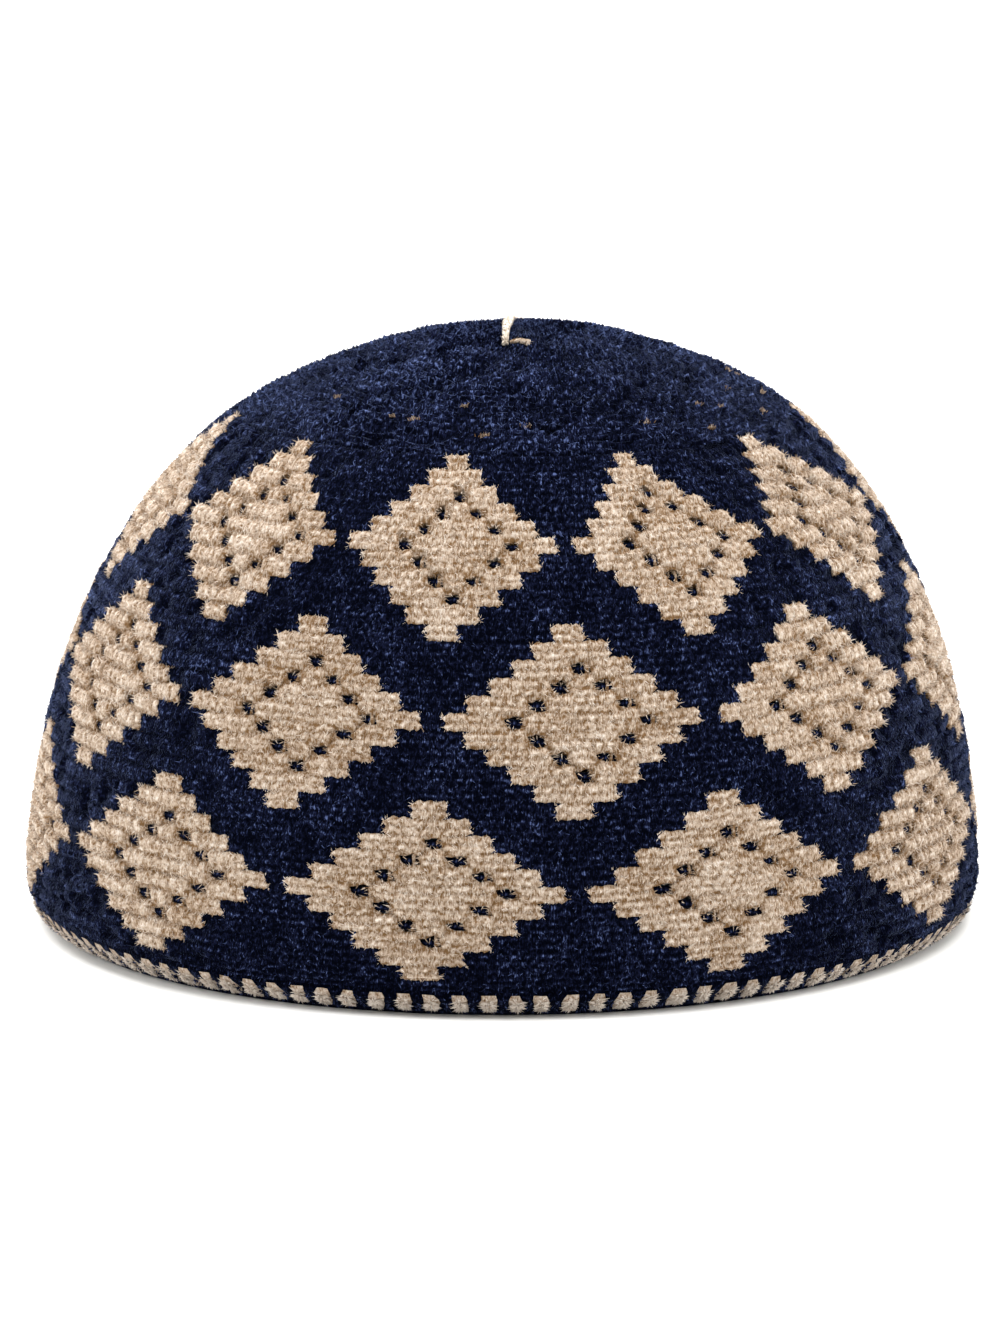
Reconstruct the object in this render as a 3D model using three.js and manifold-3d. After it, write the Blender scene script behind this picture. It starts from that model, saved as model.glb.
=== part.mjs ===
/*
 * Kufi: a crocheted dome cap with a navy ground, three staggered rows of ten beige
 * diamonds, a checked edging at the rim and a loose end of yarn on the crown.
 *
 * Millimetres, +Z up. The origin is the centre of the rim, which stands on z = 0.
 * The front of the cap faces -Y, and angles around it turn from the front towards +X.
 * A place on the fabric is an angle, an arc length measured up the outside from the rim,
 * and a depth measured inwards from the outside face.
 */
import * as THREE from 'three';
import { mergeVertices } from 'three/addons/utils/BufferGeometryUtils.js';
import Module from 'manifold-3d';

// Driving dimensions.
const WALL = 3.5; // thickness of the crocheted fabric
const SEAT_GAP = 0.3; // space between two pieces that sit against each other
const LEAN = 3.2; // how far the top of the crown leans to +X
const RIM_INNER_RADIUS = 84.3; // inside of the flat foot that the rim stands on
const EDGING_ARC = 6.7; // height of the edging, measured up the outside
const WIDEST_ARC = 11; // where the cap is widest, measured up the outside
const STITCHES = 250; // stitches in a round
const REPEATS = 10; // diamonds in a row
const FRONT_TURN = THREE.MathUtils.degToRad(-9.4); // angle of the first diamond of the low row

// Outside of the cap from the rim to the top, with one row for each section.
const OUTLINE = [
  { radius: 87.8, height: 0 },
  { radius: 92.2, height: 3.4 },
  { radius: 94.0, height: 9.5 },
  { radius: 92.9, height: 22.9 },
  { radius: 90.1, height: 39.9 },
  { radius: 85.2, height: 56.4 },
  { radius: 78.1, height: 72.1 },
  { radius: 68.7, height: 86.6 },
  { radius: 56.6, height: 98.8 },
  { radius: 41.8, height: 107.5 },
  { radius: 25.5, height: 113.3 },
  { radius: 12.0, height: 116.2 },
  { radius: 0, height: 117 },
];

// Rounds of crochet: the first one starts above the edging, and each is a little taller
// than the one below it.
const ROUNDS = { firstArc: 9.95, height: 2.943, growth: 0.01318 };

// Rows of diamonds. turn is a share of one repeat.
const DIAMOND_ROWS = [
  { name: 'low', firstRound: 0, turn: 0 },
  { name: 'mid', firstRound: 10, turn: 0.5 },
  { name: 'high', firstRound: 20, turn: 0 },
];

// A diamond's half diagonals and its middle, in stitches and rounds.
const DIAMOND = { middleRound: 5.5, halfStitches: 11.5, halfRounds: 5.75 };

// The eyelets at the four corners of a diamond's inner ring.
const EYELET = { halfStitches: 1.05, halfRounds: 0.42 };
const EYELET_PLACES = [
  { stitches: 0, rounds: 3 },
  { stitches: -6, rounds: 0 },
  { stitches: 6, rounds: 0 },
  { stitches: 0, rounds: -3 },
];

// Facets: columns around the cap, sections up the crown, cells along a diamond's side.
const COLUMNS = 50;
const CROWN_SECTIONS = 12;
const DIAMOND_CELLS = 3;
const CUT_OVERRUN = 3; // how far a cutter stands out of the fabric
const FOCUS_DEPTH = 80; // how deep inside the cap the sides of a diamond meet

// The loose end of yarn that lies over the top, and the stitch beside its foot.
const YARN_RADIUS = 0.9;
const YARN_SIDES = 8;
const TAIL_STEPS = 12;
const STITCH_STEPS = 4;
const TAIL_ROUTE = [
  { x: -2.6, y: -14.6, lift: 0 },
  { x: -2.6, y: -12.6, lift: 0.3 },
  { x: -2.5, y: -8, lift: 0.1 },
  { x: -2.3, y: -3, lift: 0.1 },
  { x: -2, y: 2.5, lift: 0.1 },
  { x: -1.7, y: 8, lift: 0.1 },
  { x: -1.2, y: 13.5, lift: 0.1 },
  { x: 0.3, y: 18, lift: 0.1 },
  { x: 2.9, y: 20.8, lift: 0 },
];
const STITCH_ROUTE = [
  { x: -1.2, y: -13.2, lift: 0 },
  { x: 0.5, y: -13.4, lift: 0.3 },
  { x: 2.2, y: -13.5, lift: 0 },
];

const COLOURS = { navy: 0x171a28, beige: 0xb8a38f, yarn: 0xe3d8c4 };

const wasm = await Module();
wasm.setup();

const outline = new THREE.SplineCurve(OUTLINE.map((p) => new THREE.Vector2(p.radius, p.height)));
outline.arcLengthDivisions = 600;
const totalArc = outline.getLength();
const totalHeight = OUTLINE.at(-1).height;
const stitchAngle = (2 * Math.PI) / STITCHES;
const repeatAngle = (2 * Math.PI) / REPEATS;

/** Radius and height of the fabric at an arc length and a depth. */
function sectionAt(arc, depth) {
  const share = arc / totalArc;
  const point = outline.getPointAt(share);
  const tangent = outline.getTangentAt(share);
  return new THREE.Vector2(point.x - depth * tangent.y, point.y + depth * tangent.x);
}

/** A radius and a height, or a direction in the section, turned to its place around the cap. */
function turned(section, angle) {
  return new THREE.Vector3(section.x * Math.sin(angle), -section.x * Math.cos(angle), section.y);
}

/** Direction straight out of the fabric. */
function normalAt(angle, arc) {
  const tangent = outline.getTangentAt(arc / totalArc);
  return turned(new THREE.Vector2(tangent.y, -tangent.x), angle);
}

/** Arc length at which a round starts. */
function roundArc(round) {
  return ROUNDS.firstArc + ROUNDS.height * round + ROUNDS.growth * round * round;
}

/** Moves each vertex of an upright geometry by a function of its place. */
function bend(geometry, move) {
  const place = geometry.getAttribute('position');
  const point = new THREE.Vector3();
  for (let i = 0; i < place.count; i += 1) {
    point.fromBufferAttribute(place, i);
    move(point);
    place.setXYZ(i, point.x, point.y, point.z);
  }
  return geometry;
}

/** Revolves a closed section of radii and heights about the cap's axis. */
function revolve(section) {
  const geometry = new THREE.LatheGeometry(section, COLUMNS, FRONT_TURN);
  return geometry.rotateX(Math.PI / 2);
}

/**
 * A diamond of fabric between two depths, bent to the dome. Its sides run to a focus inside
 * the cap, and a back that is deeper than the focus comes to a point there.
 */
function bentDiamond({ angle, round, halfAngle, halfRounds }, frontDepth, backDepth, cells) {
  const middle = turned(sectionAt(roundArc(round), 0), angle);
  const focus = middle.addScaledVector(normalAt(angle, roundArc(round)), -FOCUS_DEPTH);
  const plate = new THREE.BoxGeometry(2, 2, 2, cells, cells, 1);
  return bend(plate, (point) => {
    const depth = point.z > 0 ? frontDepth : backDepth;
    const turn = angle + (halfAngle * (point.x - point.y)) / 2;
    const arc = roundArc(round + (halfRounds * (point.x + point.y)) / 2);
    point.copy(turned(sectionAt(arc, 0), turn));
    const inward = focus.clone().sub(point);
    const fullDepth = -inward.dot(normalAt(turn, arc));
    point.addScaledVector(inward, Math.min(1, depth / fullDepth));
  });
}

/** A closed geometry as a solid that can be cut. */
function toSolid(geometry) {
  geometry.deleteAttribute('normal');
  geometry.deleteAttribute('uv');
  const merged = mergeVertices(geometry, 1e-4);
  const corners = merged.index.array;
  const triVerts = [];
  for (let i = 0; i < corners.length; i += 3) {
    const [a, b, c] = corners.slice(i, i + 3);
    if (a !== b && b !== c && c !== a) {
      triVerts.push(a, b, c);
    }
  }
  return new wasm.Manifold(new wasm.Mesh({
    numProp: 3,
    vertProperties: merged.getAttribute('position').array,
    triVerts: new Uint32Array(triVerts),
  }));
}

/** What is left of a solid when a diamond is cut right through the fabric. */
function cut(solid, place, cells) {
  return solid.subtract(toSolid(bentDiamond(place, -CUT_OVERRUN, Infinity, cells)));
}

/** A cut solid as a geometry again. */
function toGeometry(solid) {
  const mesh = solid.getMesh();
  const geometry = new THREE.BufferGeometry();
  geometry.setAttribute('position', new THREE.BufferAttribute(mesh.vertProperties, 3));
  geometry.setIndex(new THREE.BufferAttribute(mesh.triVerts, 1));
  return geometry;
}

/** Leans the upright cap to +X, more towards its top. */
function leaned(geometry) {
  return bend(geometry, (point) => {
    point.x += LEAN * (point.z / totalHeight) ** 2;
  });
}

/** A finished sub-part. */
function piece(name, geometry, color, roughness) {
  geometry.computeVertexNormals();
  const material = new THREE.MeshStandardMaterial({ color, roughness, metalness: 0, flatShading: true });
  const mesh = new THREE.Mesh(geometry, material);
  mesh.name = name;
  return mesh;
}

/** Every diamond of the pattern with its angle, its middle round and its half diagonals. */
function diamondPlaces() {
  return DIAMOND_ROWS.flatMap((row) => Array.from({ length: REPEATS }, (_, index) => ({
    name: `diamond_${row.name}_${String(index + 1).padStart(2, '0')}`,
    angle: FRONT_TURN + (index + row.turn) * repeatAngle,
    round: row.firstRound + DIAMOND.middleRound,
    halfAngle: DIAMOND.halfStitches * stitchAngle,
    halfRounds: DIAMOND.halfRounds,
  })));
}

/** The navy ground: the whole dome above the edging, with a window for each diamond. */
function crown() {
  const arcs = [EDGING_ARC + SEAT_GAP];
  for (let i = 0; i <= CROWN_SECTIONS; i += 1) {
    arcs.push(THREE.MathUtils.lerp(WIDEST_ARC, totalArc, i / CROWN_SECTIONS));
  }
  const outer = arcs.map((arc) => sectionAt(arc, 0));
  const inner = arcs.map((arc) => sectionAt(arc, WALL));
  outer.at(-1).x = 0;
  inner.at(-1).x = 0;
  const dome = toSolid(revolve([...inner.reverse(), ...outer]));
  const ground = diamondPlaces().reduce((rest, place) => cut(rest, place, DIAMOND_CELLS), dome);
  return piece('crown', leaned(toGeometry(ground)), COLOURS.navy, 0.95);
}

/** One beige diamond, a seat gap smaller than its window, with its corner eyelets cut through. */
function diamond(place) {
  const halfWidth = place.halfAngle * sectionAt(roundArc(place.round), 0).x;
  const halfHeight = (roundArc(place.round + place.halfRounds) - roundArc(place.round - place.halfRounds)) / 2;
  const sideDistance = (halfWidth * halfHeight) / Math.hypot(halfWidth, halfHeight);
  const shrink = 1 - SEAT_GAP / sideDistance;
  const size = { halfAngle: place.halfAngle * shrink, halfRounds: place.halfRounds * shrink };
  const plate = toSolid(bentDiamond({ ...place, ...size }, 0, WALL, DIAMOND_CELLS));
  const eyelets = EYELET_PLACES.map((eyelet) => ({
    angle: place.angle + eyelet.stitches * stitchAngle,
    round: place.round + eyelet.rounds,
    halfAngle: EYELET.halfStitches * stitchAngle,
    halfRounds: EYELET.halfRounds,
  }));
  const pierced = eyelets.reduce((rest, eyelet) => cut(rest, eyelet, 1), plate);
  return piece(place.name, leaned(toGeometry(pierced)), COLOURS.beige, 0.9);
}

/** The last round, which curls in and stands on a flat foot. */
function edging() {
  const foot = [sectionAt(0, 0), new THREE.Vector2(RIM_INNER_RADIUS, 0)];
  const section = [
    foot[1],
    foot[0],
    sectionAt(EDGING_ARC / 3, 0),
    sectionAt((2 * EDGING_ARC) / 3, 0),
    sectionAt(EDGING_ARC, 0),
    sectionAt(EDGING_ARC, WALL),
    foot[1],
  ];
  return piece('edging', leaned(revolve(section)), COLOURS.beige, 0.9);
}

/** Height of the top of the crown at a distance from its axis. */
function crownHeight(radius) {
  let low = totalArc / 2;
  let high = totalArc;
  while (high - low > 1e-3) {
    const middle = (low + high) / 2;
    if (sectionAt(middle, 0).x > radius) {
      low = middle;
    } else {
      high = middle;
    }
  }
  return sectionAt(low, 0).y;
}

/** A strand of yarn that lies on the crown along a route. */
function yarn(name, route, steps) {
  const points = route.map(({ x, y, lift }) => {
    const height = crownHeight(Math.hypot(x, y)) + SEAT_GAP + YARN_RADIUS + lift;
    return new THREE.Vector3(x, y, height);
  });
  const round = new THREE.Shape();
  for (let i = 0; i < YARN_SIDES; i += 1) {
    const turn = (i * 2 * Math.PI) / YARN_SIDES;
    const corner = [YARN_RADIUS * Math.cos(turn), YARN_RADIUS * Math.sin(turn)];
    if (i === 0) {
      round.moveTo(...corner);
    } else {
      round.lineTo(...corner);
    }
  }
  round.closePath();
  const tube = new THREE.ExtrudeGeometry(round, {
    steps,
    curveSegments: 1,
    bevelEnabled: false,
    extrudePath: new THREE.CatmullRomCurve3(points),
  });
  return piece(name, leaned(tube), COLOURS.yarn, 0.85);
}

const kufi = new THREE.Group();
kufi.name = 'kufi';
kufi.add(crown());
kufi.add(...diamondPlaces().map(diamond));
kufi.add(edging());
kufi.add(yarn('yarn_tail', TAIL_ROUTE, TAIL_STEPS));
kufi.add(yarn('tail_stitch', STITCH_ROUTE, STITCH_STEPS));

export default kufi;
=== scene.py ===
"""A kufi: a crocheted chenille cap, dressed around its CAD frame.

The fabric is laid out as a net of stitches and strands around the dome. Each piece is the part
of the net that has its colour, as a closed shell of strands that carries a pile of short
fibres. Lengths are in millimetres until a mesh is made from them. Turns are in radians from
the front, arcs are lengths up the outside of the dome, and depths are below that outside. A
tone is 0 in the deepest shadow and 1 at the brightest fibre tip.
"""

import math
from collections import namedtuple

import bpy
import numpy as np
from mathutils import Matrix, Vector


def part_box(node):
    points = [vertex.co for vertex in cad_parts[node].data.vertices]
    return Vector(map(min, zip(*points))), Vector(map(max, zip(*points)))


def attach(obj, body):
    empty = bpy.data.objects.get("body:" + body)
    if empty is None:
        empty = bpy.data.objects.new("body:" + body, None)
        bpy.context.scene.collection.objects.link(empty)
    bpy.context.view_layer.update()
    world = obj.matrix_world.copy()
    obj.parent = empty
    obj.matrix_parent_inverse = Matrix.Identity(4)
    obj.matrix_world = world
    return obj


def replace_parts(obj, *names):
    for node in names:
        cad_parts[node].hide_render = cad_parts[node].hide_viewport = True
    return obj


bl_info = {
    "name": "Crocheted Kufi",
    "version": (1, 0, 0),
    "blender": (4, 5, 0),
    "location": "View3D > Sidebar > Kufi",
    "description": "Builds a crocheted chenille kufi and its studio",
    "category": "Add Mesh",
}

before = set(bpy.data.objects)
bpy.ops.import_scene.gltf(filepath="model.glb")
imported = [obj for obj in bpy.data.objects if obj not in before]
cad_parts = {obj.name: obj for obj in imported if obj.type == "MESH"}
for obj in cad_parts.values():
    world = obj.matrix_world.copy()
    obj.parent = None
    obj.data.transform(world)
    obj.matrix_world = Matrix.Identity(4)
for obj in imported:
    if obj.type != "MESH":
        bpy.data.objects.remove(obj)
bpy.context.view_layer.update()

# A part of a piece: its corners, its faces, the tone of each corner, and for each corner of a
# face its place along and up the fabric.
Part = namedtuple("Part", "corners faces tone places")

# Bumps in the hand work: how high or far they go, their size, and the seed of their pattern.
Bumps = namedtuple("Bumps", "height size seed")

# Fibres that stand out from the middle of each check: place in the check's repeat, half width,
# number for each check, and their painted shade, by which they are darker; below zero it is
# painted light, by which they are lighter.
Star = namedtuple("Star", "place half_width fibres sunk")

# A light of the studio: the side that it is on, its place, its width and what it lights.
Softbox = namedtuple("Softbox", "side place width lit")

# The dome, from the rim to the top: radius and height of its outside, for the standard size.
OUTLINE = (
    (87.8, 0.0),
    (92.2, 3.4),
    (94.0, 9.5),
    (92.9, 22.9),
    (90.1, 39.9),
    (85.2, 56.4),
    (78.1, 72.1),
    (68.7, 86.6),
    (56.6, 98.8),
    (41.8, 107.5),
    (25.5, 113.3),
    (12.0, 116.2),
    (0.0, 117.0),
)
OUTLINE_STEPS = 2400
RIM_RADIUS = OUTLINE[0][0]
TOP = OUTLINE[-1][1]
RIM_INNER_RADIUS = 84.3
LEAST_RADIUS = 0.02
WALL = 3.5

# How far the top of the crown is from the middle of the rim, to the right.
LEAN = 3.2

# Metres of the frame to a millimetre of the standard size.
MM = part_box("crown")[1][2] / TOP

# The stitches: their number, the turn of the front one, and the rows and columns of the net.
STITCHES = 250
REPEATS = 10
REPEAT = STITCHES // REPEATS
STITCH_TURN = math.tau / STITCHES
FRONT_TURN = math.radians(-9.4)
COLUMNS = 2 * STITCHES
ROWS = 4

# The rounds of the wall: the arc of round 0, their height and how it grows, and the stretch of
# the last ones.
FIRST_ROUND = -1
ROUNDS = 32
ROUND_ARC = 9.95
ROUND_HEIGHT = 2.943
ROUND_GROWTH = 0.01318
STRETCH = 0.9
STRETCHED_ROUNDS = (26, 32)

# Where the rounds move sideways: between which two rounds, and how far in stitches.
SHIFTS = ((8, 12, 0.5), (18, 22, -0.5), (25, 32, -1.3))

# The diamonds: first round and middle stitch of each row, and the half widths of the rounds.
DIAMOND_ROWS = (("low", 0, 0), ("mid", 10, 12), ("high", 20, 0))
DIAMOND_HALF_WIDTHS = (1, 3, 5, 7, 9, 11, 9, 7, 5, 3, 1)

# How far the ends of a diamond's rounds stand out at each row, in stitches.
STEP_ROUNDING = (-0.28, 0.12, -0.14, 0.10, -0.28)

# The eyelets, a ring around the middle of the diamond: the round, and the stitch counted from
# the middle one.
RING_MIDDLE = 5
RING_REACH = 3
EYELETS = [
    (RING_MIDDLE + rise, 2 * stitch)
    for rise in range(RING_REACH, -RING_REACH - 1, -1)
    for stitch in sorted({abs(rise) - RING_REACH, RING_REACH - abs(rise)})
]

# How the rows above and below an eyelet's middle close in on it at each half stitch, for the
# first, second and third row away, and how far those places are moved sideways, in stitches.
# Only some of these half stitches are at the mouth of the eyelet. Then how open the eyelets
# are from the left of a diamond to its middle and to the right of that, how much this changes,
# and how deep their edges lie.
EYELET_CLOSING = (
    (0.88, 0.70, 1.20, 1.15, 0.75, 0.85),
    (0.97, 0.90, 0.72, 0.70, 0.50, 0.93),
    (0.99, 0.97, 0.94, 0.93, 0.89, 0.97),
)
EYELET_SIDEWAYS = (0.0, -0.04, 0.0, 0.0, 0.0, 0.0)
EYELET_MOUTH = slice(1, 5)
LEFT_OPENNESS = 1.14
RIGHT_OPENNESS = 0.9
OPENNESS_CHANGE = (-0.25, 0.12)
EYELET_EDGE_DEPTH = 1.35

# The upright strand that shows in an eyelet: its stitch, counted from the eyelet's first
# column, its rows, how its depth changes along it, how thick it is, and its fibres. Its low
# tone and the darkening of its fibres are painted shade, deep in the eyelet.
POST_STITCH = 0.82
POST_SLIP = 0.3
POST_BEND = 0.1
POST_ROWS = np.linspace(0.1, 3.9, 5)
POST_DEPTH = (1.5, 2.1)
POST_BOW = np.array((0.2, 0.0, -0.1, 0.0, 0.2))
POST_RADIUS = 0.4
POST_SIZES = (0.7, 1.2)
POST_KNOTS = (0.8, 1.2)
POST_SIDES = 6
POST_SHADE_TONE = 0.14
POST_FIBRES = 3
POST_FIBRE_ENDS = (0.3, 0.9)
POST_FIBRE_WIDTHS = (0.17, 0.27)
POST_PAINTED_SHADE = 0.22

# The fibres that reach into an eyelet: their number, the middle and the oval of their feet,
# their depth, length, scatter, rise and width, and their painted shade, by which they are
# darker in the eyelet.
LASHES = 10
LASH_MIDDLE = 0.25
LASH_REACH = 1.7
LASH_FLATTENING = 0.65
LASH_DEPTHS = (0.7, 1.3)
LASH_LENGTHS = (0.4, 1.2)
LASH_SCATTER = 0.25
LASH_RISES = (-0.1, 0.4)
LASH_WIDTH = 0.22
LASH_PAINTED_SHADE = 0.1

# The navy yarn that is carried behind an eyelet. Its low tone is painted shade, deep behind the
# eyelet.
CARRIED_STITCHES = np.array((-1.1, 0.3, 1.7))
CARRIED_DEPTH = 2.5
CARRIED_WANDER = 0.1
CARRIED_RADIUS = 0.95
CARRIED_SIZES = (0.85, 1.0)
CARRIED_SIDES = 8
CARRIED_SHADE_TONE = 0.2

# The strands: depths of their ridges and valleys and of the core that the pile grows from, and
# how they slant and wave.
PEAK_DEPTH = 0.6
VALLEY_DEPTH = 1.15
INNER_VALLEY_DEPTH = 2.9
TUCKED_DEPTH = 1.9
CORE_DEPTH = 1.2
CORE_RADIUS = 0.45
STRAND_SLANTS = (0.0, 0.12, 0.0, -0.12)
STRAND_WAVE = 0.13

# The relief, row by row from one round to the next: depth, and how far the middle of a stitch
# stands out. In front and behind the stitches have been pressed into two strands, and at the
# sides they are single puffs. The sides lie between two sines of the turn.
PRESSED_DEPTHS = (1.0, 0.6, 1.0, 0.6)
PRESSED_BEADS = (0.0, 0.15, 0.0, -0.15)
PUFFY_DEPTHS = (1.15, 0.66, 0.58, 0.66)
PUFFY_BEADS = (0.06, 0.18, 0.24, 0.18)
SIDE_SINES = (0.4, 0.8)
GROUND_PUFFINESS = 0.7
GROUND_PITTING = 0.85
DIAMOND_PUFFINESS = 1.0
DIAMOND_PITTING = 0.0

# The unevenness of the wall: its waves and beads, how its rows rise and its stitches slip, its
# lumps, and its pits with the share of them in front.
WAVE_CHANGE = Bumps(0.8, 5.0, 6)
BEAD_CHANGE = Bumps(0.6, 4.0, 7)
WALL_RISE = (Bumps(0.28, 11.0, 1), Bumps(0.2, 4.0, 2))
WALL_SLIP = Bumps(0.16, 2.6, 3)
WALL_LUMPS = (Bumps(0.24, 2.8, 4), Bumps(0.12, 12.0, 5))
WALL_PITS = Bumps(1.0, 2.6, 8)
WALL_PIT_RIM = (0.05, 0.6)
FRONT_PITS = 0.15

# The crown is pulled a little out of round on the right: by how much, and where, in degrees,
# and between which arcs it grows.
PULL = -6.9
PULL_PLACE = 56.0
PULL_SPREAD = 35.0
PULL_ARCS = (88, 114)

# The crown above the diamonds: its net, the hole in the middle, the painted light that raises
# its tone as if it were lit more from above, and its unevenness.
CROWN_ROUNDS = 15
CROWN_COLUMNS = 200
CROWN_HOLE = 0.35
CROWN_OVERLAP = 0.15
CROWN_PAINTED_LIGHT = 0.06
CROWN_RISE = (Bumps(0.35, 9.0, 11), Bumps(0.3, 3.5, 12))
CROWN_BEAD = 0.3
CROWN_BEAD_CHANGE = Bumps(0.6, 4.0, 17)
CROWN_VALLEYS = Bumps(0.3, 4.5, 15)
CROWN_LUMPS = (Bumps(0.4, 7.0, 18), Bumps(0.25, 1.9, 13))
CROWN_PITS = Bumps(1.0, 3.0, 16)
CROWN_PIT_RIM = (0.25, 0.65)
CROWN_PIT_DEPTH = 0.7
FADED_ROWS = 4

# The beige flecks in the crown: turn in degrees, and arc. More of them are scattered beyond,
# from a turn on each side of the front and between two arcs.
FLECKS = (
    (-31.0, 124.5),
    (-25.0, 124.0),
    (-13.7, 129.2),
    (-7.2, 120.0),
    (2.0, 123.0),
    (31.5, 122.5),
)
MORE_FLECKS = 20
MORE_TURN = 0.8
MORE_ARCS = (118, 130)

# The fibres of a fleck: their number, their sizes, their painted shade, by which they are darker
# deep in the navy pile, their depth and reach, how far they are spread along the round and up
# it, and how they tilt and lean.
FLECK_FIBRES = 22
FLECK_SIZES = (0.6, 1.2)
FLECK_WIDTHS = (0.2, 0.32)
FLECK_PAINTED_SHADE = 0.3
FLECK_DEPTH = 0.85
FLECK_REACH = 0.65
FLECK_LENGTH = 0.6
FLECK_HEIGHT = 0.25
FLECK_TILT = 0.2
FLECK_LEAN = 0.3

# The checks: place of each column of corners in the repeat, how far it is pinched in at the
# ends of the check, and how far it swells. The first columns are beige. Then how much of the
# pinch is taken back in the middle, the depths and unevenness of the checks, and the painted
# light that raises their tone where the edging curves in under the cap.
CHECKS = 110
CHECK_TURN = math.tau / CHECKS
CHECK_COLUMNS = (
    (0.05, 0.05, 0.0),
    (0.22, 0.02, 1.0),
    (0.40, -0.02, 1.0),
    (0.57, -0.05, 0.0),
    (0.81, 0.0, 0.7),
)
BEIGE_COLUMNS = 3
CHECK_MIDDLE = 0.02
CHECK_PINCH = 1.8
CHECK_SWELL = 0.4
CHECK_DEPTH = 1.05
CHECK_FOOT_DEPTH = 0.45
CHECK_SLIP = (Bumps(0.12, 7.0, 22), Bumps(0.1, 2.5, 23))
CHECK_LUMPS = Bumps(0.12, 2.0, 21)
CHECK_PAINTED_LIGHT = 0.25

# The edging: arcs of its rows, from the lip to the navy above the checks, the rows that the
# checks fill, how deep its last row is tucked under the wall, and the lip's radius.
EDGING_ARCS = (0.0, 0.5, 1.9, 3.4, 5.0, 6.4, 7.15)
CHECK_ROWS = (1, 5)
EDGING_TUCK = 1.6
LIP_RADIUS = RIM_RADIUS - 0.2

# The fibres of the checks: how far their middles are spread up and down the check, where they
# start and how far they stand out, how far they stay from the ends of the check, and their
# sizes. Then those of the lip, and their painted shade, by which they are darker along the
# bottom of the cap.
# The beige fibres get painted light, to lift the checks where the edging curves in under the cap.
BEIGE_STAR = Star(0.31, 1.95, 100, -0.3)
NAVY_STAR = Star(0.81, 0.9, 26, 0.0)
STAR_ARCS = (-1.4, 1.6)
STAR_FOOT = 0.45
STAR_RISE = 0.85
STAR_END = 0.8
STAR_LIFT = 0.1
STAR_LENGTHS = (0.7, 1.15)
STAR_WIDTHS = (0.24, 0.36)
STAR_GRAIN = 2.5
LIP_FIBRES = 2400
LIP_ARCS = (0.2, 0.5)
LIP_LEANS = (-0.9, 1.2)
LIP_DEPTH = 0.6
LIP_FOOT = 0.1
LIP_TILT = 0.25
LIP_LENGTHS = (0.4, 0.55)
LIP_WIDTHS = (0.15, 0.22)
LIP_PAINTED_SHADE = 0.2

# The pile: how its fibres lean and tilt, in radians, how they fan out from a bead, how far up
# and down they spread, and their sizes. They are longer at the sides. Fibres on deeper strands
# are darker by painted shade.
FIBRE_LEAN = 1.35
FIBRE_TILT = 0.3
FAN_TILT = 0.7
FAN_LIMIT = 0.8
PILE_SPREAD = 0.62
SPREAD_LIMITS = (0.45, 1.1)
USUAL_REACH = 0.9
GRAIN_REACH = 0.8
FIBRE_LENGTHS = (0.8, 1.08)
FIBRE_WIDTHS = (0.19, 0.3)
SIDE_LENGTH = 0.18
TUFT_FIBRES = 3
TUFT_PLACE = 0.25
TUFT_TILT = 0.5
DEPTH_PAINTED_SHADE = 0.45

# A fibre's four faces, and the tone of its foot and tip, each with its range. The foot is
# darker than the tip by painted shade, down in the pile.
FIBRE_FACES = np.array(((0, 1, 3), (1, 2, 3), (2, 0, 3), (0, 2, 1)))
FOOT_TONE = (0.3, 0.2)
TIP_TONE = (0.48, 0.34)

# The shell under the pile, with painted shade: where it lies deep, in its valleys, pits and at
# the edges of eyelets, it is darker than on its ridges, and inside the cap it is dark all over.
# Tone of its valleys, what a ridge adds, the depth where it has all of that, and the tone inside
# the cap.
VALLEY_SHADE_TONE = 0.13
RIDGE_TONE = 0.38
RIDGE_DEPTH = 0.2
INSIDE_PAINTED_SHADE = 0.12

# The loose end of yarn and the stitch beside its foot: places on the crown and lift off it.
# Then their thickness and grain, their fuzz for each millimetre, and how round their ends are.
TAIL_ROUTE = (
    (-2.6, -16.4, -1.5),
    (-2.6, -14.6, -0.8),
    (-2.5, -8.0, -0.9),
    (-2.3, -3.0, -1.0),
    (-2.0, 2.5, -1.1),
    (-1.7, 8.0, -1.4),
    (-1.2, 13.5, -1.8),
    (0.3, 18.0, -1.9),
    (2.9, 20.8, -2.0),
)
STITCH_ROUTE = ((-1.6, -15.3, -1.5), (0.2, -15.5, -1.2), (1.9, -15.8, -1.5))
THREAD_RADIUS = 0.9
THREAD_SIDES = 10
THREAD_TONE = 0.5
THREAD_GRAIN = (Bumps(0.3, 0.8, 31), Bumps(0.2, 0.3, 32))
FUZZ = 3
FUZZ_LENGTHS = (0.25, 0.6)
FUZZ_WIDTH = 0.12
FUZZ_FOOT = 0.8
FUZZ_SWEEP = 0.9
SEAT_GAP = 0.3
ROUNDING = 0.6

# The twist of the loose end, tight at its foot: its pitch, the radius of its helix and how
# much it grows, its plies, how flat it becomes, and between which shares of its length.
TAIL_POINTS = 130
TAIL_PITCH = 4.6
TAIL_HELIX = 0.28
TAIL_OPENING = 0.42
TAIL_PLY = 0.4
TAIL_FLATTENING = 0.65
OPENING_PLACE = (0.1, 0.5)

# The twist of the stitch: its size from its start to its end, and its shade.
STITCH_POINTS = 30
STITCH_PITCH = 2.6
STITCH_HELIX = 0.4
STITCH_PLY = 0.5
STITCH_RISE = 0.5
STITCH_SIZES = (0.6, 1.0)
STITCH_SHADE = 0.75

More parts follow.
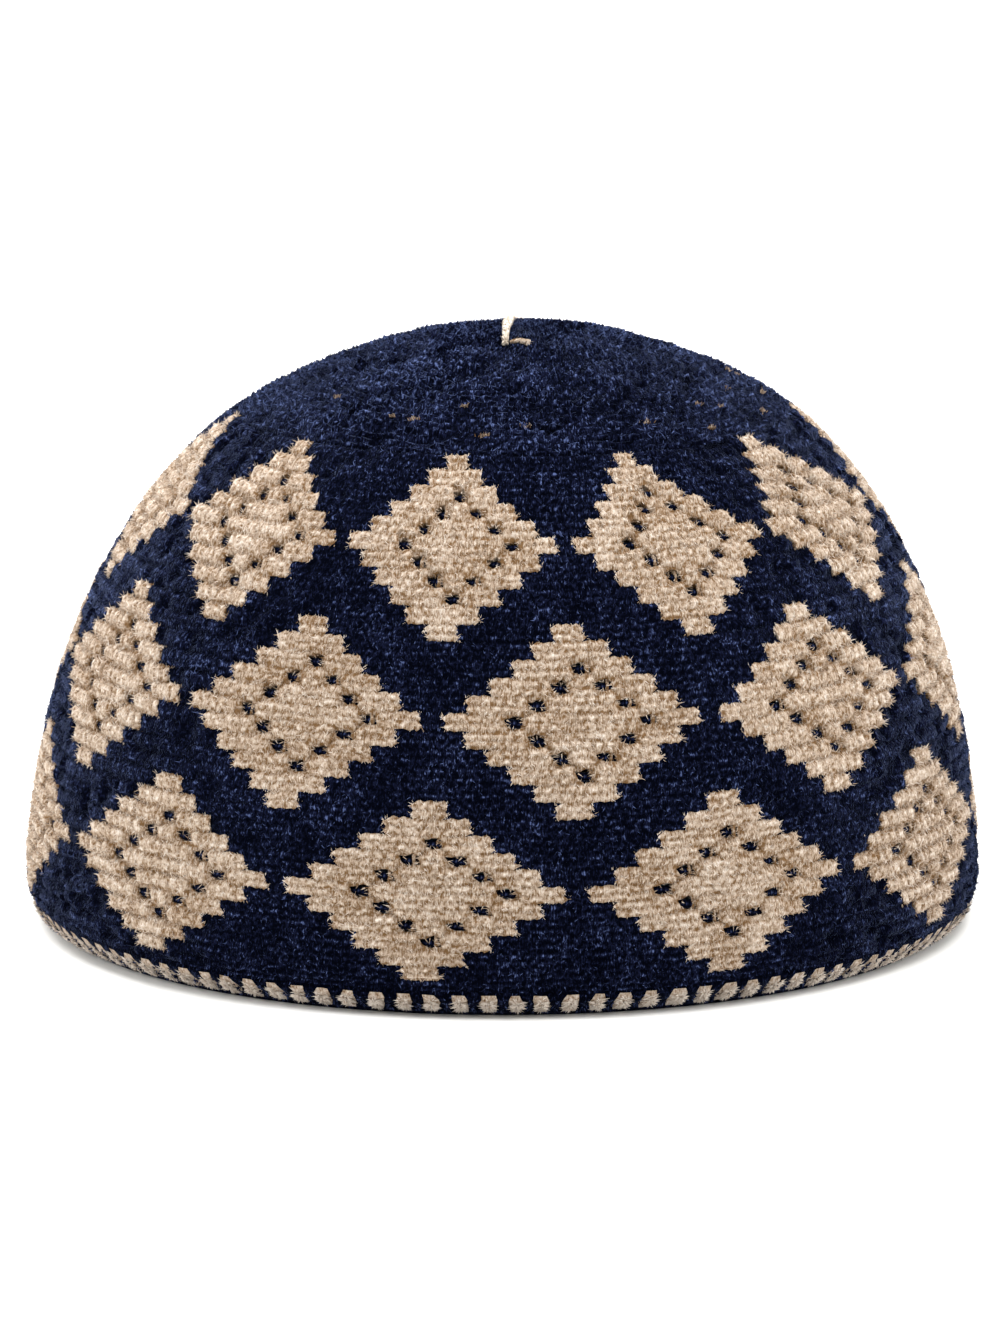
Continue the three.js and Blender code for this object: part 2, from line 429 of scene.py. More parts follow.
# The grain of a yarn: how wide it is scattered for loose fibres, the stretch of its fine
# mottling, how much its dashes, that mottling and the patches count, their middle value, the
# places of the three colours on the tone, and how pale the sheen is.
GRAIN_WIDTH = 50
FINE_STRETCH = (0.9, 1.1)
DASH_WEIGHT = 0.9
FINE_WEIGHT = 0.9
PATCH_WEIGHT = 0.25
GRAIN_MIDDLE = 1.02
COLOUR_TONES = (0.1, 0.5, 0.95)
SHEEN_PALENESS = 0.7

# Faces that meet at less than this angle are shaded as one surface.
SMOOTH_ANGLE = math.radians(50)

# The studio, in metres: its softboxes, and the floor's sides and radius, the width and the
# start of its rising edge, and the rise and spread of each step of that edge.
CAP_MIDDLE = (0.0, 0.0, 0.05)
BACK_FLOOR = (0.0, 1.7, 0.0)
SOFTBOXES = (
    Softbox("top", (0.15, -0.1, 1.4), 1.3, CAP_MIDDLE),
    Softbox("left", (-1.45, -0.25, 0.75), 0.9, CAP_MIDDLE),
    Softbox("right", (1.4, -0.6, 0.9), 0.9, CAP_MIDDLE),
    Softbox("rim", (-0.9, 1.3, 1.1), 0.9, CAP_MIDDLE),
    Softbox("back", (0.0, 1.7, 1.3), 1.4, BACK_FLOOR),
)
FLOOR_SIDES = 96
FLOOR_RADIUS = 2.3
FLOOR_EDGE = 0.4
EDGE_START = 2.2
EDGE_STEPS = ((0.06, 1.08), (0.14, 1.05), (0.25, 1.03), (0.5, 1.01))

# Numbers that scramble the cells of the noise, its seed and their mixture.
CELL_SCRAMBLE = np.array((73856093, 19349663, 83492791))
SEED_SCRAMBLE = 2654435761
MIX_SCRAMBLE = 73244475
WORD = 0xFFFFFFFF
HALF_WORD = 0xFFFF


def spline(knots, count):
    """Points along a uniform Catmull-Rom curve through the knots."""
    knots = np.asarray(knots, dtype=float)
    last = len(knots) - 1
    place = np.linspace(0, last, count)
    index = np.minimum(place.astype(int), last - 1)
    share = (place - index)[:, None]
    start, end = knots[index], knots[index + 1]
    leave = (end - knots[np.maximum(index - 1, 0)]) / 2
    arrive = (knots[np.minimum(index + 2, last)] - start) / 2
    cubic = 2 * start - 2 * end + leave + arrive
    square = -3 * start + 3 * end - 2 * leave - arrive
    return cubic * share**3 + square * share**2 + leave * share + start


def arc_lengths(points):
    """Distance along a run of points."""
    steps = np.linalg.norm(np.diff(points, axis=0), axis=1)
    return np.concatenate(([0.0], np.cumsum(steps)))


def unit(vectors):
    """The vectors at a length of one."""
    return vectors / np.linalg.norm(vectors, axis=1)[:, None]


def times(amounts, vectors):
    """The vectors, each times its own amount."""
    return amounts[:, None] * vectors


SECTION = spline(OUTLINE, OUTLINE_STEPS)
ARC = arc_lengths(SECTION)
TANGENT = unit(np.gradient(SECTION, ARC, axis=0))


def section_at(arc):
    """Radius, height and the two parts of the upward tangent at an arc."""
    radius = np.interp(arc, ARC, SECTION[:, 0])
    height = np.interp(arc, ARC, SECTION[:, 1])
    out = np.interp(arc, ARC, TANGENT[:, 0])
    up = np.interp(arc, ARC, TANGENT[:, 1])
    return radius, height, out, up


def surface(turn, arc, depth):
    """Places in the fabric at a turn, an arc and a depth."""
    radius, height, out, up = section_at(arc)
    radius = np.maximum(radius - depth * up, LEAST_RADIUS)
    height = height + depth * out
    lean = LEAN * (height / TOP) ** 2
    return np.stack((radius * np.sin(turn) + lean, -radius * np.cos(turn), height), axis=-1)


def directions(turn, arc):
    """Unit vectors out of the fabric, along its rounds and up it."""
    _, _, out, up = section_at(arc)
    sine, cosine = np.sin(turn), np.cos(turn)
    outward = np.stack((up * sine, -up * cosine, -out), axis=-1)
    along = np.stack((cosine, sine, np.zeros_like(sine)), axis=-1)
    upward = np.stack((out * sine, -out * cosine, up), axis=-1)
    return outward, along, upward


def ease(share):
    """A share from 0 to 1 that starts and ends slowly."""
    return share * share * (3 - 2 * share)


def smooth_step(value, low, high):
    """0 below low, 1 above high, and a smooth rise between them."""
    return ease(np.clip((value - low) / (high - low), 0, 1))


def noise(places, size, seed):
    """Smooth values from -1 to 1 over space, with bumps of about the given size."""
    cell = places / size
    low = np.floor(cell).astype(np.int64)
    share = ease(cell - low)
    total = np.zeros(places.shape[:-1])
    for corner in np.ndindex(2, 2, 2):
        value = np.bitwise_xor.reduce((low + np.array(corner)) * CELL_SCRAMBLE, axis=-1)
        value = (value ^ (seed * SEED_SCRAMBLE)) & WORD
        value = ((value ^ (value >> 15)) * MIX_SCRAMBLE) & WORD
        value = ((value ^ (value >> 16)) & HALF_WORD) / HALF_WORD
        weight = np.prod(np.where(np.array(corner) == 1, share, 1 - share), axis=-1)
        total += weight * value
    return 2 * total - 1


def bumps(places, *layers):
    """The layers of bumps, added up."""
    return sum(layer.height * noise(places, layer.size, layer.seed) for layer in layers)


def aside(turn):
    """0 in front and behind, and 1 at the two sides."""
    return smooth_step(np.abs(np.sin(turn)), *SIDE_SINES)


def round_arc(place):
    """Arc at which a round starts."""
    arc = ROUND_ARC + ROUND_HEIGHT * place + ROUND_GROWTH * place**2
    return arc + STRETCH * smooth_step(place, *STRETCHED_ROUNDS)


def round_offset(place):
    """How far the stitches of a round are moved sideways, in stitches."""
    return sum(stitches * smooth_step(place, low, high) for low, high, stitches in SHIFTS)


class Net:
    """Corners of the fabric's cells, in rows up the dome and columns around it.

    Even rows of corners are the valleys between strands, and odd rows the ridges.
    """

    def __init__(self, turn, arc, outer, inner):
        self.turn = turn
        self.arc = arc
        self.outer = outer
        self.outside = surface(turn, arc, outer)
        self.inside = surface(turn, arc, inner)
        self.strand_radius = section_at(arc[1::2].mean(axis=1))[0]

    def shell(self, mask):
        """The closed shell of the cells in the mask."""
        columns = mask.shape[1]
        size = self.turn.size
        row, column = np.nonzero(mask)
        radius = self.strand_radius[row // 2]
        index, place = [], []
        for up, along in ((0, 0), (0, 1), (1, 1), (1, 0)):
            at = (column + along) % columns
            left = self.turn[row + up, column]
            step = (self.turn[row + up, at] - left) % math.tau
            index.append((row + up) * columns + at)
            place.append(np.stack(((left + step) * radius, self.arc[row + up, at]), 1))
        faces = [np.stack(index, 1), size + np.stack(index[::-1], 1)]
        places = [np.stack(place, 1), np.stack(place[::-1], 1)]
        below, above = np.zeros_like(mask), np.zeros_like(mask)
        below[1:], above[:-1] = mask[:-1], mask[1:]
        beside = (below, np.roll(mask, -1, axis=1), above, np.roll(mask, 1, axis=1))
        for side, neighbour in enumerate(beside):
            bare = ~neighbour[row, column]
            end = (side + 1) % len(beside)
            first, last = index[side][bare], index[end][bare]
            from_place, to_place = place[side][bare], place[end][bare]
            faces.append(np.stack((size + first, size + last, last, first), 1))
            places.append(np.stack((from_place, to_place, to_place, from_place), 1))
        used, faces = np.unique(np.concatenate(faces), return_inverse=True)
        corners = np.concatenate((self.outside.reshape(-1, 3), self.inside.reshape(-1, 3)))
        # Painted shade: the outside of the shell darkens with its depth, and the inside is dark all
        # over.
        height = 1 - smooth_step(self.outer, RIDGE_DEPTH, VALLEY_DEPTH)
        outer_tone = VALLEY_SHADE_TONE + RIDGE_TONE * height.ravel()
        tone = np.concatenate((outer_tone, np.full(size, INSIDE_PAINTED_SHADE)))
        return Part(corners[used], faces.reshape(-1, 4), tone[used], np.concatenate(places))

    def scatter(self, mask, density, rng):
        """The strand and column of each fibre, its place along that column, and its tilt."""
        either = mask[0::2] | mask[1::2]
        strand, column = np.nonzero(either)
        ridge, beyond = 2 * strand + 1, (column + 1) % mask.shape[1]
        step = self.outside[ridge, beyond] - self.outside[ridge, column]
        area = density * np.linalg.norm(step, axis=1) * self.pitch(ridge, column)
        count = (area + rng.random(len(strand))).astype(int)
        many = np.repeat(np.arange(len(strand)), count)
        share = rng.random(len(many))
        tilt = rng.normal(0, FIBRE_TILT, len(many))
        # Where a strand ends, its last stitch fans out into a tuft.
        for side in (-1, 1):
            bare = np.nonzero(~np.roll(either, -side, axis=1)[strand, column])[0]
            tuft = np.repeat(bare, TUFT_FIBRES)
            many = np.concatenate((many, tuft))
            near = rng.random(len(tuft)) * TUFT_PLACE
            share = np.concatenate((share, near if side < 0 else 1 - near))
            tilt = np.concatenate((tilt, side * rng.uniform(0.0, TUFT_TILT, len(tuft))))
        return strand[many], column[many], share, tilt

    def pitch(self, ridge, column):
        """Distance between the valleys on the two sides of a ridge."""
        return self.arc[ridge + 1, column] - self.arc[ridge - 1, column]

    def pile(self, mask, density, reach, rng):
        """The fibres on the strands in the mask."""
        strand, column, share, tilt = self.scatter(mask, density, rng)
        ridge, beyond = 2 * strand + 1, (column + 1) % mask.shape[1]
        turn_step = (self.turn[ridge, beyond] - self.turn[ridge, column]) % math.tau
        turn = self.turn[ridge, column] + share * turn_step
        arc = (1 - share) * self.arc[ridge, column] + share * self.arc[ridge, beyond]
        near_depth, far_depth = self.outer[ridge, column], self.outer[ridge, beyond]
        ridge_depth = (1 - share) * near_depth + share * far_depth
        # The pile of each bead fans out from the middle of the bead.
        fan = np.clip(far_depth - near_depth, -FAN_LIMIT, FAN_LIMIT)
        tilt += FAN_TILT * fan * np.where(fan > 0, share, 1 - share)
        lean = rng.uniform(-FIBRE_LEAN, FIBRE_LEAN, len(strand))
        # A strand that has only its lower or upper half carries its pile on that half.
        lean = np.where(mask[0::2][strand, column], lean, np.abs(lean))
        lean = np.where(mask[1::2][strand, column], lean, -np.abs(lean))
        core = surface(turn, arc, CORE_DEPTH + ridge_depth - PEAK_DEPTH)
        outward, along, upward = directions(turn, arc)
        length = reach * rng.uniform(*FIBRE_LENGTHS, len(strand))
        length *= 1 + SIDE_LENGTH * aside(turn)
        spread = np.clip(PILE_SPREAD * self.pitch(ridge, column), *SPREAD_LIMITS)
        spread = np.sin(lean) * spread / USUAL_REACH
        ray = times(np.cos(lean), outward) + times(spread, upward) + times(tilt, along)
        base = core + CORE_RADIUS * (times(np.cos(lean), outward) + times(np.sin(lean), upward))
        # Painted shade: fibres on deeper strands are darker.
        sunk = DEPTH_PAINTED_SHADE * (ridge_depth - PEAK_DEPTH)
        grain = arc + GRAIN_REACH * np.sin(lean)
        place = np.stack((turn * self.strand_radius[strand], grain), 1)
        width = rng.uniform(*FIBRE_WIDTHS, len(strand))
        return spikes(base, core + times(length, ray), width, place, sunk, rng)

    def fabric(self, mask, density, reach, rng):
        """The shell and the pile of the cells in the mask."""
        return [self.shell(mask), self.pile(mask, density, reach, rng)]


def spikes(base, tip, width, place, sunk, rng):
    """Slender fibres, darkened by painted shade; below zero it is painted light."""
    count = len(base)
    direction = unit(tip - base)
    side = unit(np.cross(direction, rng.normal(size=(count, 3))))
    across = np.cross(direction, side)
    corners = np.empty((count, 4, 3))
    for index in range(3):
        angle = index * math.tau / 3
        offset = math.cos(angle) * side + math.sin(angle) * across
        corners[:, index] = base + offset * (width[:, None] / 2)
    corners[:, 3] = tip
    faces = np.arange(count)[:, None, None] * 4 + FIBRE_FACES
    shade = rng.random(count)
    tone = np.empty((count, 4))
    # The foot is darker than the tip: painted shade, down in the pile.
    tone[:, :3] = (FOOT_TONE[0] + FOOT_TONE[1] * shade - sunk)[:, None]
    tone[:, 3] = TIP_TONE[0] + TIP_TONE[1] * shade - sunk
    places = np.broadcast_to(np.repeat(place, 4, axis=0)[:, None], (4 * count, 3, 2))
    return Part(corners.reshape(-1, 3), faces.reshape(-1, 3), np.clip(tone, 0, 1).ravel(), places)


def loose_places(count, rng):
    """Places anywhere in the grain of the yarn."""
    return rng.uniform(0, GRAIN_WIDTH, (count, 2))


def row_of(number):
    """The first row of a round of the wall."""
    return (number - FIRST_ROUND) * ROWS


def diamonds():
    """Name, first round and middle stitch of each diamond."""
    for row, first, middle in DIAMOND_ROWS:
        for number in range(REPEATS):
            yield f"diamond_{row}_{number + 1:02d}", first, middle + number * REPEAT


def wall_mask():
    """A mask of the wall with no cells in it."""
    return np.zeros((ROUNDS * ROWS, COLUMNS), dtype=bool)


def diamond_mask(first, middle):
    """Cells of the wall inside one diamond, its eyelets included."""
    mask = wall_mask()
    for number, half in enumerate(DIAMOND_HALF_WIDTHS):
        row = row_of(first + number)
        columns = np.arange(2 * (middle - half), 2 * (middle + half + 1)) % COLUMNS
        mask[row : row + ROWS, columns] = True
    return mask


def eyelets(first, middle):
    """First row of each eyelet of a diamond, and the column where it begins."""
    for number, stitch in EYELETS:
        yield row_of(first + number), 2 * (middle + stitch) + 1


def eyelet_mask():
    """Cells of the wall that the eyelets leave open."""
    mask = wall_mask()
    for _, first, middle in diamonds():
        for row, column in eyelets(first, middle):
            mask[row + 1 : row + 3, column % COLUMNS] = True
            mask[row : row + ROWS, (column + 1) % COLUMNS] = True
            mask[row : row + ROWS, (column + 2) % COLUMNS] = True
    return mask


def diamond_shaping(arc, unevenness):
    """How far the corners of the diamonds move up and sideways, and which edge an eyelet."""
    closing, sideways = np.zeros_like(arc), np.zeros_like(arc)
    edge = np.zeros(arc.shape, dtype=bool)
    rng = np.random.default_rng(STITCHES)
    for _, first, middle in diamonds():
        for number, half in enumerate(DIAMOND_HALF_WIDTHS):
            low = row_of(first + number)
            rows = slice(low, low + len(STEP_ROUNDING))
            sideways[rows, 2 * (middle + half + 1) % COLUMNS] += STEP_ROUNDING
            sideways[rows, 2 * (middle - half) % COLUMNS] -= STEP_ROUNDING
        for low, column in eyelets(first, middle):
            centre = low + ROWS // 2
            at = (np.arange(len(EYELET_SIDEWAYS)) + column - 1) % COLUMNS
            edge[low : low + ROWS + 1, at[EYELET_MOUTH]] = True
            sideways[low + 1 : low + ROWS, at] += EYELET_SIDEWAYS
            usual = RIGHT_OPENNESS if column > 2 * middle + 1 else LEFT_OPENNESS
            for direction in (-1, 1):
                openness = usual + unevenness * rng.uniform(*OPENNESS_CHANGE, len(at))
                for away, closeness in enumerate(EYELET_CLOSING, 1):
                    share = np.array(closeness)
                    if away < len(EYELET_CLOSING):
                        share[EYELET_MOUTH] *= openness[EYELET_MOUTH]
                    row = centre + direction * away
                    closing[row, at] += (share - 1) * (arc[row, at] - arc[centre, at])
    return closing, sideways, edge


def pulled(turn, arc):
    """The turn where the crown has been pulled out of round."""
    distance = (turn - math.radians(PULL_PLACE) + math.pi) % math.tau - math.pi
    share = np.exp(-((distance / math.radians(PULL_SPREAD)) ** 2)) * smooth_step(arc, *PULL_ARCS)
    return turn + math.radians(PULL) * share


def inner_depths(row, outer):
    """Depths of the inside, with a ridge behind each ridge of the outside."""
    return np.where(row % 2 == 1, WALL, INNER_VALLEY_DEPTH) + np.zeros_like(outer)


def wall_net(unevenness, puffiness, pitting):
    """The net of the wall, from the edging to the tops of the highest diamonds."""
    row = np.arange(ROUNDS * ROWS + 1)[:, None]
    high = FIRST_ROUND + row / ROWS
    arc = np.repeat(round_arc(high), COLUMNS, axis=1)
    slant = np.take(STRAND_SLANTS, row % ROWS)
    stitch = np.arange(COLUMNS) / 2 - 0.5 + round_offset(high) + slant
    closing, sideways, edge = diamond_shaping(arc, unevenness)
    arc = arc + closing
    turn = FRONT_TURN + STITCH_TURN * (stitch + sideways)
    level = surface(turn, arc, 0.0)
    turn = pulled(turn, arc)
    side = np.where(np.arange(COLUMNS) % 2 == 1, 1.0, -1.0)
    arc = arc + STRAND_WAVE * side * (1 + bumps(level, WAVE_CHANGE))
    arc = arc + unevenness * bumps(level, *WALL_RISE)
    turn = turn + unevenness * STITCH_TURN * bumps(level, WALL_SLIP)
    puff = puffiness * aside(turn)
    place = row % ROWS
    depth = (1 - puff) * np.take(PRESSED_DEPTHS, place) + puff * np.take(PUFFY_DEPTHS, place)
    bead = (1 - puff) * np.take(PRESSED_BEADS, place) + puff * np.take(PUFFY_BEADS, place)
    outer = depth - bead * side * (1 + bumps(level, BEAD_CHANGE))
    outer = outer + unevenness * bumps(level, *WALL_LUMPS)
    pits = smooth_step(bumps(level, WALL_PITS), *WALL_PIT_RIM)
    pits *= FRONT_PITS + (1 - FRONT_PITS) * aside(turn)
    outer = outer + unevenness * pitting * pits
    outer = np.where(edge, np.maximum(outer, EYELET_EDGE_DEPTH), outer)
    outer[0] = TUCKED_DEPTH
    return Net(turn, arc, outer, inner_depths(row, outer))


def crown_net(unevenness):
    """The net of the crown, from the wall to the middle of the top."""
    rows = CROWN_ROUNDS * ROWS + 1
    bottom = round_arc(FIRST_ROUND + ROUNDS) - CROWN_OVERLAP
    row = np.arange(rows)[:, None]
    arc = np.linspace(bottom, ARC[-1] - CROWN_HOLE, rows)[:, None]
    arc = np.repeat(arc, CROWN_COLUMNS, axis=1)
    column = np.arange(CROWN_COLUMNS)
    turn = FRONT_TURN + math.tau / CROWN_COLUMNS * (column + 0.5 * (row // ROWS))
    level = surface(turn, arc, 0.0)
    fade = smooth_step(row, 0, FADED_ROWS)
    fade = fade * (1 - smooth_step(row, rows - 2 - FADED_ROWS, rows - 1))
    arc = arc + unevenness * fade * bumps(level, *CROWN_RISE)
    side = np.where((column + (row % ROWS == ROWS - 1)) % 2 == 1, 1.0, -1.0)
    bead = CROWN_BEAD * side * (1 + bumps(level, CROWN_BEAD_CHANGE))
    valley = VALLEY_DEPTH + unevenness * bumps(level, CROWN_VALLEYS)
    outer = np.where(row % 2 == 1, PEAK_DEPTH - bead, valley)
    pits = CROWN_PIT_DEPTH * smooth_step(bumps(level, CROWN_PITS), *CROWN_PIT_RIM)
    outer = outer + unevenness * (fade * bumps(level, *CROWN_LUMPS) + pits)
    return Net(turn, arc, outer, inner_depths(row, outer))


def edging_net(unevenness):
    """The net of the edging: its lip, the rows of the checks, and the navy above them."""
    first, last = CHECK_ROWS
    rows = np.arange(len(EDGING_ARCS))[:, None]
    swell = np.sin(np.clip((rows - first) / (last - first), 0, 1) * math.pi)
    check, part = np.divmod(np.arange(CHECKS * len(CHECK_COLUMNS)), len(CHECK_COLUMNS))
    place, pinch, swelling = np.array(CHECK_COLUMNS)[part].T
    place = check + place - CHECK_MIDDLE + pinch * (1 - CHECK_PINCH * swell)
    turn = FRONT_TURN + CHECK_TURN * place
    arc = np.repeat(np.array(EDGING_ARCS)[:, None], turn.shape[1], axis=1)
    level = surface(turn, arc, 0.0)
    turn = turn + unevenness * CHECK_TURN * bumps(level, *CHECK_SLIP)
    outer = CHECK_DEPTH - CHECK_SWELL * swell * swelling
    outer = outer + unevenness * bumps(level, CHECK_LUMPS)
    outer[first] = CHECK_FOOT_DEPTH
    outer[-1] = EDGING_TUCK
    net = Net(turn, arc, outer, np.full_like(outer, WALL))
    around = np.stack((np.sin(turn[0]), -np.cos(turn[0]), np.zeros_like(turn[0])), axis=-1)
    net.outside[0] = LIP_RADIUS * around
    net.inside[0] = RIM_INNER_RADIUS * around
    return net


def check_mask():
    """Cells of the beige checks."""
    mask = np.zeros((len(EDGING_ARCS) - 1, CHECKS * len(CHECK_COLUMNS)), dtype=bool)
    first, last = CHECK_ROWS
    mask[first:last] = np.arange(mask.shape[1]) % len(CHECK_COLUMNS) < BEIGE_COLUMNS
    return mask


def star_pile(star, reach, rng):
    """Fibres that stand out all round from the middle of each check, or from beside it."""
    low, high = (EDGING_ARCS[row] for row in CHECK_ROWS)
    turn = FRONT_TURN + CHECK_TURN * (np.arange(CHECKS) + star.place - CHECK_MIDDLE)
    turn = np.repeat(turn, star.fibres)
    arc = np.full(len(turn), (low + high) / 2)
    turn = turn + CHECK_TURN * bumps(surface(turn, arc, 0.0), *CHECK_SLIP)
    arc = arc + rng.uniform(*STAR_ARCS, len(arc))
    ray = rng.normal(size=(len(turn), 3))
    ray[:, 0] = np.abs(ray[:, 0]) + STAR_LIFT
    ray = unit(ray)
    size = np.array((STAR_RISE * reach, star.half_width, (high - low) / 2 - STAR_END))
    full = np.einsum("ni,nij->nj", ray * size, np.stack(directions(turn, arc), axis=1))
    core = surface(turn, arc, reach / 2)
    length = rng.uniform(*STAR_LENGTHS, len(turn))
    width = rng.uniform(*STAR_WIDTHS, len(turn))
    place = np.stack((turn * RIM_RADIUS, arc), 1) + STAR_GRAIN * ray[:, 1:]
    base, tip = core + STAR_FOOT * full, core + times(length, full)
    return spikes(base, tip, width, place, star.sunk, rng)


def lip_pile(reach, rng):
    """Short fibres along the lip."""
    turn = rng.random(LIP_FIBRES) * math.tau
    arc = rng.uniform(*LIP_ARCS, LIP_FIBRES)
    outward, along, upward = directions(turn, arc)
    lean = rng.uniform(*LIP_LEANS, LIP_FIBRES)
    ray = times(np.cos(lean), outward) + times(np.sin(lean), upward)
    core = surface(turn, arc, LIP_DEPTH)
    tip = core + times(reach * rng.uniform(*LIP_LENGTHS, LIP_FIBRES), ray)
    tip += times(rng.normal(0, LIP_TILT, LIP_FIBRES), along)
    place = np.stack((turn * RIM_RADIUS, arc), 1)
    width = rng.uniform(*LIP_WIDTHS, LIP_FIBRES)
    return spikes(core + LIP_FOOT * ray, tip, width, place, LIP_PAINTED_SHADE, rng)


def fleck_pile(rng):
    """Tiny tufts of beige that show through the crown."""
    turn, arc = np.array(FLECKS).T
    more = rng.uniform(MORE_TURN, math.tau - MORE_TURN, MORE_FLECKS)
    turn = np.concatenate((np.radians(turn), more))
    arc = np.concatenate((arc, rng.uniform(*MORE_ARCS, MORE_FLECKS)))
    size = np.repeat(rng.uniform(*FLECK_SIZES, len(turn)), FLECK_FIBRES)
    turn, arc = np.repeat(turn, FLECK_FIBRES), np.repeat(arc, FLECK_FIBRES)
    outward, along, upward = directions(turn, arc)
    core = surface(turn, arc, FLECK_DEPTH)
    core += times(size * rng.normal(0, FLECK_LENGTH, len(turn)), along)
    core += times(size * rng.normal(0, FLECK_HEIGHT, len(turn)), upward)
    tip = core + FLECK_REACH * outward + times(rng.normal(0, FLECK_LEAN, len(turn)), upward)
    tip += times(rng.normal(0, FLECK_TILT, len(turn)), along)
    place = loose_places(len(turn), rng)
    return spikes(core, tip, rng.uniform(*FLECK_WIDTHS, len(turn)), place, FLECK_PAINTED_SHADE, rng)


def triangles(faces):
    """Four-sided faces, or values at their corners, split into triangles."""
    if faces.shape[1] == 3:
        return faces
    return np.concatenate((faces[:, (0, 1, 2)], faces[:, (0, 2, 3)]))


def tube(points, radius, reference, sides, tone):
    """A round-ended tube along a run of points, all of one tone."""
    count = len(points)
    tangent = unit(np.gradient(points, axis=0))
    side = unit(np.cross(tangent, reference))
    across = np.cross(tangent, side)
    angle = np.arange(sides) * math.tau / sides
    ring = np.cos(angle)[:, None] * side[:, None] + np.sin(angle)[:, None] * across[:, None]
    rings = points[:, None] + radius[:, None, None] * ring
    bottom = points[0] - ROUNDING * radius[0] * tangent[0]
    tip = points[-1] + ROUNDING * radius[-1] * tangent[-1]
    corners = np.concatenate((rings.reshape(-1, 3), (bottom, tip)))
    row, column = np.divmod(np.arange((count - 1) * sides), sides)
    a, b = row * sides + column, row * sides + (column + 1) % sides
    first, last, top = count * sides, count * sides + 1, (count - 1) * sides
    rim = np.arange(sides)
    turned = (rim + 1) % sides
    faces = (
        triangles(np.stack((a, b, b + sides, a + sides), 1)),
        np.stack((np.full(sides, first), turned, rim), 1),
        np.stack((np.full(sides, last), top + rim, top + turned), 1),
    )
    faces = np.concatenate(faces)
    length = arc_lengths(points)
    along = np.concatenate((np.repeat(length, sides), (length[0], length[-1])))
    around = np.concatenate((np.tile(angle, count), (0.0, 0.0))) * radius.mean()
    return Part(corners, faces, np.full(len(corners), tone), np.stack((along, around), 1)[faces])


def post(net, row, column, rng):
    """The upright strand inside an eyelet, and its fibres."""
    rows = row + POST_ROWS
    place = POST_STITCH + rng.uniform(-POST_SLIP, POST_SLIP)
    place = place + rng.uniform(-POST_BEND, POST_BEND, len(rows))
    low = np.floor(rows).astype(int)
    share = rows - low
    at = (column + 2) % COLUMNS
    arc = (1 - share) * net.arc[low, at] + share * net.arc[low + 1, at]
    stitch = column / 2 + place + round_offset(FIRST_ROUND + rows / ROWS)
    turn = FRONT_TURN + STITCH_TURN * stitch
    points = surface(turn, arc, rng.uniform(*POST_DEPTH) + POST_BOW)
    outward, _, _ = directions(turn, arc)
    radius = POST_RADIUS * rng.uniform(*POST_SIZES) * rng.uniform(*POST_KNOTS, len(rows))
    # The post's low tone is painted shade, deep in the eyelet.
    strand = tube(points, radius, outward, POST_SIDES, POST_SHADE_TONE)
    centre = np.repeat(points[1:-1], POST_FIBRES, axis=0)
    ray = unit(rng.normal(size=centre.shape))
    width = rng.uniform(*POST_FIBRE_WIDTHS, len(centre))
    place = loose_places(len(centre), rng)
    base, tip = (centre + end * ray for end in POST_FIBRE_ENDS)
    return strand, spikes(base, tip, width, place, POST_PAINTED_SHADE, rng)


def lashes(net, row, column, rng):
    """Fibres that reach into an eyelet from its edge."""
    at = (row + ROWS // 2, (column + 1) % COLUMNS)
    angle = rng.random(LASHES) * math.tau
    turn = np.full(LASHES, net.turn[at] + LASH_MIDDLE * STITCH_TURN)
    arc = np.full(LASHES, net.arc[at])
    outward, along, upward = directions(turn, arc)
    ray = times(np.cos(angle), along) + times(LASH_FLATTENING * np.sin(angle), upward)
    base = surface(turn, arc, rng.uniform(*LASH_DEPTHS, LASHES)) + LASH_REACH * ray
    tip = base - times(rng.uniform(*LASH_LENGTHS, LASHES), ray)
    tip += rng.normal(0, LASH_SCATTER, base.shape)
    tip += times(rng.uniform(*LASH_RISES, LASHES), outward)
    place = loose_places(LASHES, rng)
    return spikes(base, tip, np.full(LASHES, LASH_WIDTH), place, LASH_PAINTED_SHADE, rng)


def carried_yarn(net, row, column, rng):
    """The navy yarn that is carried along inside the stitches behind an eyelet."""
    at = (row + ROWS // 2, (column + 1) % COLUMNS)
    turn = net.turn[at] + CARRIED_STITCHES * STITCH_TURN
    arc = np.full(len(turn), net.arc[at])
    wander = rng.uniform(-CARRIED_WANDER, CARRIED_WANDER, len(turn))
    points = surface(turn, arc, CARRIED_DEPTH + wander)
    outward, _, _ = directions(turn, arc)
    radius = CARRIED_RADIUS * rng.uniform(*CARRIED_SIZES, len(turn))
    # Its low tone is painted shade, deep behind the eyelet.
    return tube(points, radius, outward, CARRIED_SIDES, CARRIED_SHADE_TONE)


def crown_curve(route, count):
    """Points along a route over the crown."""
    widest = int(np.argmax(SECTION[:, 0]))
    x, y, lift = np.array(route).T
    height = np.interp(np.hypot(x, y), SECTION[:widest:-1, 0], SECTION[:widest:-1, 1])
    z = height + SEAT_GAP + THREAD_RADIUS + lift
    points = spline(np.stack((x, y, z), axis=-1), count)
    points[:, 0] += LEAN * (points[:, 2] / TOP) ** 2
    return points


